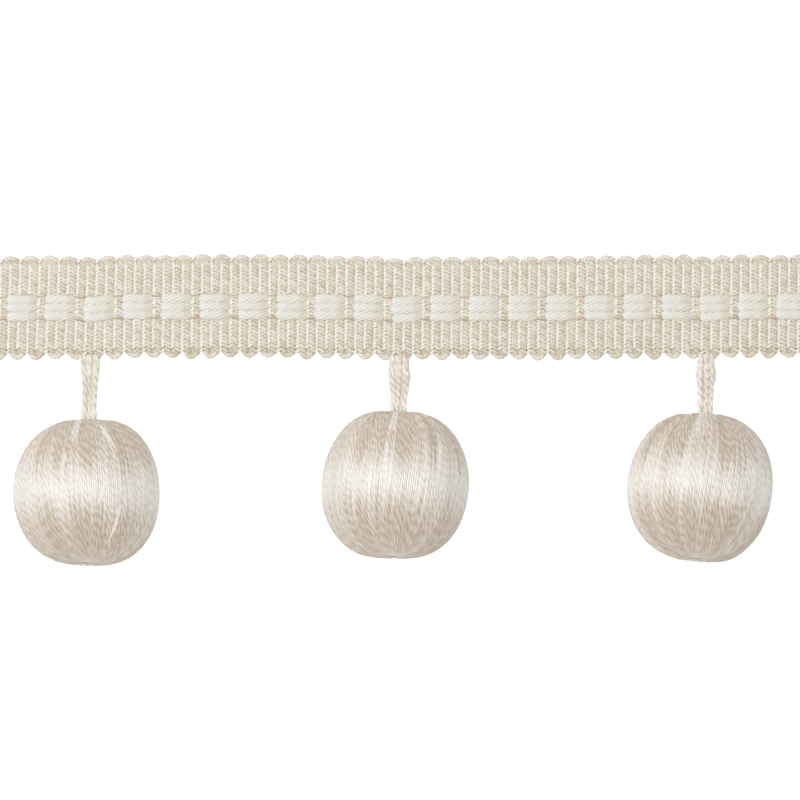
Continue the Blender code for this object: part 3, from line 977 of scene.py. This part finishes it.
def make_winding(number, form, centre, material):
    """The outer turns: threads laid from pole to pole, piled over one another where they crowd."""
    chance = random.Random(100 + number)
    template = make_template(6, 40)
    latitudes = [THREAD_END * (1 - 2 * along) for along in ways_along(template)]
    back = back_bands(200 + number)
    bands = {half: BALL_BANDS[number - 1][half] + back for half in ("upper", "lower")}
    builder = bmesh.new()
    for thread in range(BALL_THREADS):
        longitude = 2 * math.pi * (thread + chance.uniform(-THREAD_SHIFT, THREAD_SHIFT)) / BALL_THREADS
        strength = chance.uniform(*THREAD_STRENGTHS)
        highlight_shift = chance.uniform(-THREAD_HIGHLIGHT_SHIFT, THREAD_HIGHLIGHT_SHIFT)
        turn_length = THREAD_TURN * chance.uniform(*THREAD_TURNS)
        layer_phase = chance.uniform(0, 2 * math.pi)
        layer_waves = chance.uniform(*LAYER_WAVES)
        sway = THREAD_SWAY * chance.uniform(-1, 1)
        sway_phase = chance.uniform(0, 2 * math.pi)
        own = chance.gauss(0, OWN_TONE)
        size = chance.uniform(*THREAD_SIZES)
        centres = []
        outwards = []
        for latitude in latitudes:
            crowd = 1 - math.cos(latitude)
            wave = sway * math.sin(SWAY_WAVES * latitude + sway_phase) * (1 + 2 * crowd)
            layer = 0.5 + 0.5 * math.sin(layer_waves * latitude + layer_phase)
            depth = THREAD_HALF_HEIGHT + PILE_DEPTH * (0.5 + crowd) * layer
            place, direction = winding_place(form, longitude + wave, latitude, depth)
            place = centre + place
            place.z = max(place.z, THREAD_HALF_HEIGHT)
            centres.append(place)
            outwards.append(direction)
        tones = [thread_tone(bands, longitude, latitude, own, strength, highlight_shift) for latitude in latitudes]
        turns = [-turn_length * (1 + POLE_STRAIGHTENING * (1 - math.cos(latitude))) for latitude in latitudes]
        shares = [THREAD_POLE_WIDTH + (1 - THREAD_POLE_WIDTH) * math.cos(latitude) for latitude in latitudes]
        widths = [THREAD_HALF_WIDTH * size * share for share in shares]
        lay_strand(builder, template, centres, widths, THREAD_HALF_HEIGHT, tone=tones, turn=turns,
                   start=random_start(chance), up=outwards)
    lay_streaks(builder, number, form, centre)
    return finish_piece(builder, f"ball_{number}_winding", material, "ball_thread", f"ball_{number}")


def lay_streaks(builder, number, form, centre):
    """Pale threads over the winding, side by side, each dipping under the others at its two ends."""
    chance = random.Random(500 + number)
    template = make_template(6, 16)
    half_width = rounded(STREAK_HALF_WIDTH, STREAK_TIP, 0.1)
    half_height = rounded(STREAK_HALF_HEIGHT, STREAK_TIP)
    for first_angle, last_angle, first_height, last_height, threads, tone in BALL_STREAKS[number - 1]:
        for thread in range(threads):
            aside = math.radians(STREAK_SPACING * (thread - (threads - 1) / 2))
            top = first_height + chance.uniform(*STREAK_TOPS)
            bottom = last_height + chance.uniform(*STREAK_BOTTOMS)
            centres = []
            outwards = []
            for along in ways_along(template):
                latitude = math.radians(top + (bottom - top) * along)
                angle = math.radians(first_angle + (last_angle - first_angle) * along)
                depth = STREAK_DEPTH + STREAK_DIVE * abs(2 * along - 1) ** 4
                place, direction = winding_place(form, FACE_ANGLE + angle + aside, latitude, depth)
                centres.append(centre + place)
                outwards.append(direction)
            shade = tone + chance.uniform(-TONE_SPREAD, TONE_SPREAD)
            lay_strand(builder, template, centres, half_width, half_height, tone=shade, turn=-THREAD_TURN,
                       start=random_start(chance), up=outwards)


def make_under_turns(number, form, centre, material):
    """The turns under the outer ones, seen only in the fine gaps between them, in a deeper colour that is
    painted shade.
    """
    builder = bmesh.new()
    bmesh.ops.create_uvsphere(builder, u_segments=80, v_segments=48, radius=1)
    for vertex in builder.verts:
        latitude = math.asin(max(-1, min(1, vertex.co.z)))
        longitude = math.atan2(vertex.co.y, vertex.co.x)
        place = centre + winding_place(form, longitude, latitude, UNDER_TURNS_DEPTH)[0]
        place.z = max(place.z, 0.02 * MM)
        vertex.co = place
    bmesh.ops.recalc_face_normals(builder, faces=builder.faces)
    return finish_piece(builder, f"ball_{number}_under_turns", material, "ball_thread", f"ball_{number}")


# The hangers

def pole_point(ball, centre):
    """Where a hanger ends, just short of the dimple at the ball's pole, and the way it points."""
    axis = ball_frame(ball) @ Vector((0, 0, 1))
    reach = outline_radius(ball, math.pi / 2, axis) - HANGER_DIMPLE + POLE_CLEARANCE
    return centre + reach * axis, axis


def bezier(points, along):
    """Place and direction on the cubic curve through four control points."""
    a, b, c, d = points
    rest = 1 - along
    place = a * rest ** 3 + b * 3 * rest ** 2 * along + c * 3 * rest * along ** 2 + d * along ** 3
    heading = (b - a) * rest ** 2 + (c - b) * 2 * rest * along + (d - c) * along ** 2
    return place, heading.normalized()


def width_at(widths, along):
    """Width of a hanger between the ones its table gives."""
    spot = along * (len(widths) - 1)
    index = min(int(spot), len(widths) - 2)
    share = spot - index
    share = share * share * (3 - 2 * share)
    return (widths[index] * (1 - share) + widths[index + 1] * share) * MM


def hanger_route(hanger, ball, centre):
    """Control points of the hanger's curve, as the part has them."""
    x = hanger["x"] * MM
    edge_y = BRAID_Y + band_shift(x) - NOTCH_HALF_WIDTH - LOWER_REACH * (1 + SCALLOP_SPREAD)
    root = Vector((x, edge_y - CLEARANCE, HANGER_ROOT_Z))
    foot, axis = pole_point(ball, centre)
    handle = HANGER_BEND * (foot - root).length
    return root, root + Vector((0, -handle, 0)), foot + axis * handle, foot


def hanger_place(route, along):
    """Place on the hanger; past its ends it runs on, over the braid's edge and into the ball."""
    place, heading = bezier(route, min(max(along, 0.0), 1.0))
    length = (route[3] - route[0]).length
    if along < 0:
        past = min(-along * length / HANGER_TUCK, 1.0)
        rise = TUCK_LIFT * math.sin(math.pi * past) - TUCK_DIVE * past ** 3
        place = place + heading * (along * length) + UP * rise
    if along > 1:
        place = place + heading * ((along - 1) * length)
    return place, heading


def hanger_point(hanger, route, along, aside, over):
    """A point beside the hanger's line: aside in half widths, over in metres above it."""
    place, heading = hanger_place(route, along)
    sideways = heading.cross(UP).normalized()
    upwards = sideways.cross(heading)
    half = width_at(hanger["widths"], min(max(along, 0.0), 1.0)) / 2
    return place + sideways * (aside * half) + upwards * over


def make_hanger(number, hanger, ball, centre, material):
    """Three two-ply yarns side by side over a flat one, darker strands between them for tan and painted
    shade, and a frayed root.
    """
    chance = random.Random(300 + number)
    template = make_template(10, 56)
    route = hanger_route(hanger, ball, centre)
    length = (route[3] - route[0]).length
    tuck = HANGER_TUCK / length
    alongs = [-tuck + (1 + 2 * tuck) * along for along in ways_along(template)]
    builder = bmesh.new()
    for yarn in range(HANGER_YARNS):
        phase = chance.uniform(0, 2 * math.pi)
        rise = chance.uniform(*YARN_CHANCES["rises"]) * MM
        turn_length = PLY_TURN * chance.uniform(*YARN_CHANCES["turns"])
        yarn_tone = chance.uniform(*YARN_CHANCES["tones"])
        sway = chance.uniform(*YARN_CHANCES["sways"])
        for ply in range(HANGER_PLIES):
            centres = []
            for along in alongs:
                twist = phase + math.pi * ply + 2 * math.pi * along * length / turn_length
                lane = (yarn - 1) * LANE_SPACING + sway * math.sin(3 * along + phase)
                centres.append(hanger_point(hanger, route, along, lane + PLY_SPREAD * math.cos(twist),
                                            rise + PLY_HEIGHT * math.sin(twist)))
            half_width = rounded(PLY_HALF_WIDTH, HANGER_TIP)
            tone = yarn_tone + chance.uniform(-TONE_SPREAD, TONE_SPREAD)
            lay_strand(builder, template, centres, half_width, half_width, tone=tone, turn=COTTON_TURN,
                       start=random_start(chance))
    for first, last in hanger["shades"]:
        sway = chance.uniform(-SHADE_SWAY, SHADE_SWAY)
        centres = [hanger_point(hanger, route, along,
                                first + (last - first) * along + sway * math.sin(7 * along), SHADE_HEIGHT)
                   for along in alongs]
        lay_strand(builder, template, centres, SHADE_HALF_WIDTH, SHADE_HALF_WIDTH, tone=SHADE_TONE,
                   turn=COTTON_TURN, start=random_start(chance))
    centres = [hanger_point(hanger, route, along, 0.0, BACK_HEIGHT) for along in alongs]
    widths = [BACK_WIDTH * width_at(hanger["widths"], along) for along in ways_along(template)]
    lay_strand(builder, template, centres, widths, BACK_HALF_HEIGHT, tone=BACK_TONE, turn=COTTON_TURN)
    lay_frays(builder, chance, hanger, route)
    return finish_piece(builder, f"hanger_{number}_yarns", material, "hanger_yarn", f"hanger_{number}")


def lay_frays(builder, chance, hanger, route):
    """Loose fine ends that spread beside the root and come back to the yarns."""
    template = make_template(5, 18)
    half_width = rounded(FRAY_HALF_WIDTH, 0.1)
    for fray in range(FRAYS):
        side = 1 if fray % 2 else -1
        reach = chance.uniform(*FRAY_CHANCES["reaches"])
        bulge = chance.uniform(*FRAY_CHANCES["bulges"])
        leave = chance.uniform(*FRAY_CHANCES["leaves"])
        centres = []
        for along in ways_along(template):
            aside = side * (leave + bulge * math.sin(math.pi * along) - FRAY_RETURN * along ** 2)
            centres.append(hanger_point(hanger, route, FRAY_START + reach * along, aside, FRAY_HEIGHT))
        tone = chance.uniform(*FRAY_CHANCES["tones"])
        lay_strand(builder, template, centres, half_width, half_width, tone=tone, turn=FRAY_TURN,
                   start=random_start(chance))


# Floor, light and camera

def make_floor():
    """A wide table top that shines a little, so that it stays white in the picture."""
    builder = bmesh.new()
    bmesh.ops.create_grid(builder, x_segments=1, y_segments=1, size=3)
    mesh = bpy.data.meshes.new("floor")
    builder.to_mesh(mesh)
    builder.free()
    floor = bpy.data.objects.new("floor", mesh)
    bpy.context.scene.collection.objects.link(floor)
    material = bpy.data.materials.new("white_table")
    material.use_nodes = True
    shader = material.node_tree.nodes["Principled BSDF"]
    shader.inputs["Base Color"].default_value = FLOOR_GREY
    shader.inputs["Roughness"].default_value = 0.9
    shader.inputs["Specular IOR Level"].default_value = 0.1
    shader.inputs["Emission Color"].default_value = WHITE
    shader.inputs["Emission Strength"].default_value = FLOOR_GLOW
    mesh.materials.append(material)


def add_light(name, place, width, height, power):
    """A soft box that faces the middle of the trim."""
    light = bpy.data.lights.new(name, "AREA")
    light.shape = "RECTANGLE"
    light.size = width
    light.size_y = height
    light.energy = power
    lamp = bpy.data.objects.new(name, light)
    lamp.location = place
    lamp.rotation_euler = (Vector((0, 0, 0)) - lamp.location).to_track_quat("-Z", "Y").to_euler()
    bpy.context.scene.collection.objects.link(lamp)


def make_camera():
    """A camera far above the trim, with a lens that frames the photo's part of it."""
    data = bpy.data.cameras.new("camera")
    data.sensor_width = SENSOR
    data.lens = SENSOR * CAMERA_HEIGHT / PICTURE_WIDTH
    data.clip_end = 20
    camera = bpy.data.objects.new("camera", data)
    camera.location = PICTURE_MIDDLE + UP * CAMERA_HEIGHT
    bpy.context.scene.collection.objects.link(camera)
    bpy.context.scene.camera = camera


def light_scene():
    """The white sky and the one soft box."""
    scene = bpy.context.scene
    scene.view_settings.view_transform = "Standard"
    world = bpy.data.worlds.new("studio")
    world.use_nodes = True
    sky = world.node_tree.nodes["Background"]
    sky.inputs["Color"].default_value = WHITE
    sky.inputs["Strength"].default_value = SKY_LIGHT
    scene.world = world
    add_light("key", KEY_PLACE, *KEY_SIZE, KEY_POWER)


def main():
    yarns = {name: yarn_material(name, **finish) for name, finish in YARNS.items()}
    cloth = make_ground(yarns["ground_weft"])
    on_it = [make_rib_stitches(yarns["cream_warp"]), make_stripe_stitches(yarns["white_warp"]),
             make_stripe_cores(yarns["white_warp"]), make_scallops(yarns["edge_cord"]),
             make_floats(yarns["white_roving"]), make_gap_threads(yarns["gap_thread"])]
    for number, (ball, hanger) in enumerate(zip(BALLS, HANGERS), start=1):
        form = (ball, ball_frame(ball), winding_relief(BALL_SEED + number))
        centre = ball_centre(number, form)
        make_under_turns(number, form, centre, yarns["shaded_under_thread"])
        make_winding(number, form, centre, yarns["satin_thread"])
        make_hanger(number, hanger, ball, centre, yarns["hanger_cotton"])
    make_floor()
    make_camera()
    light_scene()


main()
